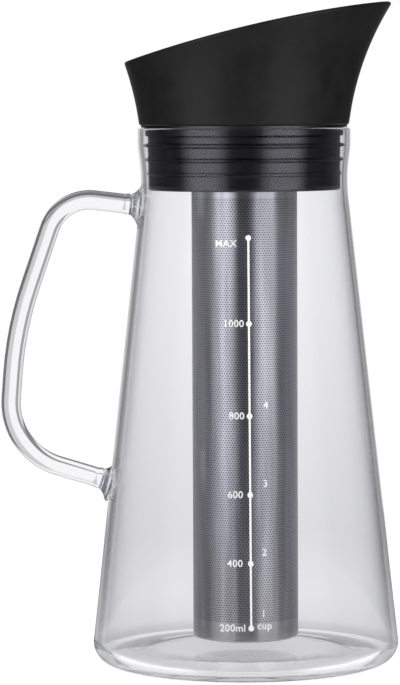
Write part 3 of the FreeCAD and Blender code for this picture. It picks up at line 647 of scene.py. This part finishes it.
def add_falloff(light):
    """Dims the softbox towards its left and right edges, and hides it from rays straight through
    glass, which would show it as a bright sheet."""
    light.use_nodes = True
    tree = light.node_tree
    across = tree.nodes.new("ShaderNodeSeparateXYZ")
    tree.links.new(tree.nodes.new("ShaderNodeNewGeometry").outputs["Parametric"], across.inputs[0])
    from_middle = node_math(tree, "ABSOLUTE", node_math(tree, "SUBTRACT", across.outputs["X"], 0.5))
    falloff = node_ramp(tree, from_middle, *SOFTBOX_FALLOFF, 1.0, SOFTBOX_EDGE)
    path = tree.nodes.new("ShaderNodeLightPath").outputs
    bounces = node_math(tree, "ADD", path["Glossy Depth"], path["Diffuse Depth"])
    unbounced = node_math(tree, "LESS_THAN", bounces, 0.5)
    through_glass = node_math(tree, "GREATER_THAN", path["Transmission Depth"], 0.5)
    shown = node_math(tree, "SUBTRACT", 1.0, node_math(tree, "MULTIPLY", through_glass, unbounced))
    strength = node_math(tree, "MULTIPLY", falloff, shown)
    tree.links.new(strength, tree.nodes["Emission"].inputs["Strength"])


def make_softboxes():
    for name, side in (("left_softbox", -1), ("right_softbox", 1)):
        light = bpy.data.lights.new(name, "AREA")
        light.shape = "RECTANGLE"
        light.size, light.size_y = SOFTBOX_SIZE
        light.energy = SOFTBOX_RADIANCE * math.pi * SOFTBOX_SIZE[0] * SOFTBOX_SIZE[1]
        add_falloff(light)
        softbox = bpy.data.objects.new(name, light)
        bpy.context.scene.collection.objects.link(softbox)
        azimuth = math.radians(SOFTBOX_AZIMUTH - side * CAMERA_AZIMUTH)
        softbox.location = (
            side * SOFTBOX_DISTANCE * math.sin(azimuth),
            -SOFTBOX_DISTANCE * math.cos(azimuth),
            SOFTBOX_HEIGHT)
        aim = Vector((0, 0, SOFTBOX_HEIGHT)) - softbox.location
        softbox.rotation_euler = aim.to_track_quat("-Z", "Y").to_euler()
        softbox.visible_camera = False


# Directions below are parts of a unit vector: Y is 1 straight away from the front, Z the sine of
# the angle above the horizon. A pair of them is where a change begins and where it is complete.
IN_GLASS = 0.75             # what paths through one wall see of the white if they bounced in it
AHEAD_Y = 0.75              # twice or more, or once and head at least this far away from the front
IN_WELDS = 0.75             # and paths that bounced twice or more anywhere in the glass
STEEP_IN_GLASS = 0.12       # what paths through one wall or the rod see of it steeply below
STEEP_TO_WALL_Z = (-0.30, -0.16)        # where they meet the world
STEEP_TO_TABLE_Z = (-0.42, -0.28)       # where they meet the table away from the jug
STEEP_TO_FOOT_Z = (-0.78, -0.68)        # and around its foot
FOOT_ZONE_R = (0.16, 0.19)              # which ends between these radii, in metres
# upright flags beside the white, for paths through one wall or the rod that bounced once at most:
# where each begins, is full, stays full to and ends, in degrees to the right of straight behind
# the object, and how light it is
FLAGS = [
    (-85, -75, -44, -38, 0.72),
    (-38, -33, -22, -17, 0.38),
    (5, 11, 28, 33, 0.64),
    (27, 34, 84, 89, 0.05),
]
FLAG_TOP_Z = (0.3, 0.45)    # the flags end above and below this
TABLE_GREY = 0.22           # how much darker the table is than the wall, seen through the jug
TABLE_GREY_Z = (-0.17, -0.03)
WORLD_BACK = 0.7            # what mirrors show of the white behind the object
WORLD_SIDES = 0.16          # of the studio at the sides
OUTSIDE_SHARE = 0.35        # how much of that the collar and the glass's outer face mirror
WORLD_FRONT = 0.025         # and of the dark behind the camera
WORLD_SIDES_Y = (-0.6, 0.2)
WORLD_BACK_Y = (0.90, 0.99)
WORLD_AMBIENT = 0.75        # what lights matt surfaces besides the softboxes


def white_seen(tree, heading, level):
    """1 for paths that went straight or through glass alone; less for those that bounced in it.

    heading separates the ray's direction. level is what paths through one wall or the rod see
    there, where they bounced once at most; the flags dim it further. Light mirrored once in the
    glass, back to the front, sees the dim studio.
    """
    path = tree.nodes.new("ShaderNodeLightPath").outputs
    bounces = node_math(tree, "ADD", path["Glossy Depth"], path["Diffuse Depth"])
    straight = node_math(tree, "LESS_THAN", bounces, 0.5)
    one_wall = node_math(tree, "COMPARE", path["Transmission Depth"], 1.5, 0.8)     # 1 or 2
    matt = node_math(tree, "LESS_THAN", path["Diffuse Depth"], 0.5)
    trapped = node_math(tree, "GREATER_THAN", path["Glossy Depth"], 1.5)
    ahead = node_math(tree, "GREATER_THAN", heading["Y"], AHEAD_Y)
    within = node_math(tree, "MULTIPLY", one_wall, node_math(tree, "MULTIPLY", matt, IN_GLASS))
    bounced = node_math(tree, "MULTIPLY", within, node_math(tree, "MAXIMUM", trapped, ahead))
    often = node_math(tree, "MULTIPLY", trapped, matt)
    in_welds = node_math(tree, "MULTIPLY", often, IN_WELDS)
    white = node_math(tree, "MAXIMUM", straight, node_math(tree, "MAXIMUM", bounced, in_welds))
    azimuth = node_math(tree, "ARCTAN2", heading["X"], heading["Y"])
    tilt = node_ramp(tree, node_math(tree, "ABSOLUTE", heading["Z"]), *FLAG_TOP_Z, 0.0, 1.0)
    for start, full, full_end, end, light in FLAGS:
        rise = node_ramp(tree, azimuth, math.radians(start), math.radians(full), 1.0, light)
        fall = node_ramp(tree, azimuth, math.radians(full_end), math.radians(end), light, 1.0)
        flag = node_math(tree, "MAXIMUM", node_math(tree, "MAXIMUM", rise, fall), tilt)
        level = node_math(tree, "MULTIPLY", level, flag)
    seldom = node_math(tree, "LESS_THAN", path["Glossy Depth"], 1.5)
    flagged = node_math(tree, "MULTIPLY", one_wall, seldom)
    dimmed = node_math(tree, "MULTIPLY", flagged, node_math(tree, "SUBTRACT", 1.0, level))
    through_jug = node_math(tree, "GREATER_THAN", path["Transmission Depth"], 2.5)
    low_grey = node_ramp(tree, heading["Z"], *TABLE_GREY_Z, TABLE_GREY, 0.0)
    table_grey = node_math(tree, "MULTIPLY", through_jug, low_grey)
    shade = node_math(tree, "SUBTRACT", node_math(tree, "SUBTRACT", 1.0, dimmed), table_grey)
    return node_math(tree, "MULTIPLY", white, shade)


def make_world():
    """White where the camera looks, straight or through glass alone; a dim studio for mirrors."""
    world = bpy.data.worlds.new("studio")
    bpy.context.scene.world = world
    world.use_nodes = True
    tree = world.node_tree
    tree.nodes.clear()

    direction = tree.nodes.new("ShaderNodeSeparateXYZ")
    tree.links.new(tree.nodes.new("ShaderNodeTexCoord").outputs["Generated"], direction.inputs[0])
    level = node_ramp(tree, direction.outputs["Z"], *STEEP_TO_WALL_Z, STEEP_IN_GLASS, 1.0)
    seen = white_seen(tree, direction.outputs, level)
    sides = node_ramp(tree, direction.outputs["Y"], *WORLD_SIDES_Y, WORLD_FRONT, WORLD_SIDES)
    path = tree.nodes.new("ShaderNodeLightPath").outputs
    in_jug = node_math(tree, "GREATER_THAN", path["Transmission Depth"], 0.5)
    sides = node_math(tree, "MULTIPLY", sides, node_math(tree, "MAXIMUM", in_jug, OUTSIDE_SHARE))
    back = node_ramp(tree, direction.outputs["Y"], *WORLD_BACK_Y, 0.0, WORLD_BACK)
    mirrored = node_math(tree, "MAXIMUM", sides, back)
    lit = tree.nodes.new("ShaderNodeMix")
    tree.links.new(path["Diffuse Depth"], lit.inputs["Factor"])
    tree.links.new(mirrored, lit.inputs["A"])
    lit.inputs["B"].default_value = WORLD_AMBIENT
    strength = node_math(tree, "MAXIMUM", seen, lit.outputs["Result"])
    background = tree.nodes.new("ShaderNodeBackground")
    background.inputs["Color"].default_value = grey(1.0)
    tree.links.new(strength, background.inputs["Strength"])
    output = tree.nodes.new("ShaderNodeOutputWorld")
    tree.links.new(background.outputs[0], output.inputs["Surface"])


FLOOR_R = 0.55
FLOOR_RINGS = (0.2, 0.4, FLOOR_R)
FLOOR_SEGMENTS = 96
FLOOR_DROP = 0.1 * MM       # below the foot ring
FLOOR_FADE_R = (0.12, 0.42)     # where the lit table fades into plain white
FLOOR_WHITE = 0.8
FLOOR_GLOW = 0.45           # what the camera's rays add, so that the lit floor is white
FLOOR_MIRRORED = 0.25       # its colour in the metal and in the glass's own reflections
FLOOR_FAR_MIRRORED = 0.15
LIT_MIRRORED = (0.96, 0.93, 0.86, 1)    # and where the softboxes light it, left and right in front
LIT_FAR_MIRRORED = 0.6
LIT_SECTOR = (15, 30, 60, 80)   # where that begins, is full, stays full to and ends, in degrees
                                # to either side of straight in front
AT_FOOT = 0.3               # light that the glass lets through onto the table at its foot
AT_FOOT_R = (0.056, 0.068)
UNDER_JUG_LIGHT = 0.82            # painted light on the table under the jug, seen through its glass
UNDER_JUG_R = (0.059, 0.063)


def make_floor():
    """A round table top that takes the object's shadow and fades into the white around it."""
    bm = bmesh.new()
    rings = [[(0, 0, 0)]]
    for radius in FLOOR_RINGS:
        angles = [2 * math.pi * k / FLOOR_SEGMENTS for k in range(FLOOR_SEGMENTS)]
        rings.append([(radius * math.cos(a), radius * math.sin(a), 0) for a in angles])
    add_rings(bm, rings)
    mesh = bpy.data.meshes.new("table_top")
    bm.to_mesh(mesh)
    bm.free()
    floor = bpy.data.objects.new("table_top", mesh)
    floor.location.z = -FLOOR_DROP
    bpy.context.scene.collection.objects.link(floor)
    shader = Shader("table_top")
    tree = shader.tree
    place = shader.place()
    radius = shader.vector_math("LENGTH", place)
    spot = shader.node("ShaderNodeSeparateXYZ")
    shader.feed(spot.inputs[0], place)
    to_front = shader.math("MULTIPLY", spot.outputs["Y"], -1.0)
    around = shader.math("ARCTAN2", spot.outputs["X"], to_front)
    start, full, full_end, end = [math.radians(angle) for angle in LIT_SECTOR]
    to_side = shader.math("ABSOLUTE", around)
    rise = shader.ramp(to_side, start, full, 0.0, 1.0)
    fall = shader.ramp(to_side, full_end, end, 1.0, 0.0)
    lit = shader.math("MINIMUM", rise, fall)
    near_mirrored = shader.mix(lit, grey(FLOOR_MIRRORED), LIT_MIRRORED)
    far_mirrored = shader.ramp(lit, 0.0, 1.0, FLOOR_FAR_MIRRORED, LIT_FAR_MIRRORED)
    far = shader.ramp(radius, *FLOOR_FADE_R, 0.0, 1.0)
    heading = shader.node("ShaderNodeSeparateXYZ")
    incoming = shader.node("ShaderNodeNewGeometry").outputs["Incoming"]
    shader.feed(heading.inputs[0], shader.vector_math("MULTIPLY", incoming, (-1, -1, -1)))
    foot = shader.ramp(heading.outputs["Z"], *STEEP_TO_FOOT_Z, STEEP_IN_GLASS, 1.0)
    away = shader.ramp(radius, *FOOT_ZONE_R, 1.0, STEEP_IN_GLASS)
    beyond = shader.ramp(heading.outputs["Z"], *STEEP_TO_TABLE_Z, 0.0, 1.0)
    level = shader.math("MAXIMUM", shader.math("MINIMUM", foot, away), beyond)
    seen = white_seen(tree, heading.outputs, level)
    diffuse = shader.node("ShaderNodeBsdfDiffuse")
    shader.feed(diffuse.inputs["Color"], shader.mix(seen, near_mirrored, grey(FLOOR_WHITE)))
    path = shader.node("ShaderNodeLightPath").outputs
    through_glass = shader.math("GREATER_THAN", path["Transmission Depth"], 0.5)
    matt = shader.math("LESS_THAN", path["Diffuse Depth"], 0.5)
    in_glass = shader.math("MULTIPLY", through_glass, matt)
    # painted light on the table under the jug, for paths through its glass, where its shadow falls
    jug_room = shader.ramp(radius, *UNDER_JUG_R, UNDER_JUG_LIGHT, 0.0)
    light_under_jug = shader.math("MULTIPLY", in_glass, jug_room)
    bare = shader.math("LESS_THAN", path["Ray Depth"], 0.5)
    at_foot = shader.math("MULTIPLY", bare, shader.ramp(radius, *AT_FOOT_R, AT_FOOT, 0.0))
    glow = shader.node("ShaderNodeEmission")
    added = shader.math("ADD", shader.math("MULTIPLY", seen, FLOOR_GLOW), at_foot)
    shader.feed(glow.inputs["Strength"], shader.math("MAXIMUM", added, light_under_jug))
    near = shader.node("ShaderNodeAddShader")
    tree.links.new(diffuse.outputs[0], near.inputs[0])
    tree.links.new(glow.outputs[0], near.inputs[1])
    white = shader.node("ShaderNodeEmission")
    shader.feed(white.inputs["Strength"], shader.math("MAXIMUM", seen, far_mirrored))
    mix = shader.node("ShaderNodeMixShader")
    shader.feed(mix.inputs["Fac"], far)
    tree.links.new(near.outputs[0], mix.inputs[1])
    tree.links.new(white.outputs[0], mix.inputs[2])
    tree.links.new(mix.outputs[0], shader.output.inputs["Surface"])
    tree.nodes.remove(shader.principled)
    mesh.materials.append(shader.material)


# The glass of the base and the rod pipes light along. Paths that are cut off there show as black
# patches, so they may bounce this often.
PIPED_BOUNCES = 512

bpy.context.scene.view_settings.view_transform = "Standard"
bpy.context.scene.cycles.max_bounces = PIPED_BOUNCES
bpy.context.scene.cycles.glossy_bounces = PIPED_BOUNCES
bpy.context.scene.cycles.transmission_bounces = PIPED_BOUNCES
make_camera()
make_softboxes()
make_world()
make_floor()
dress_cad_nodes()
make_fused_glass()
make_figures()
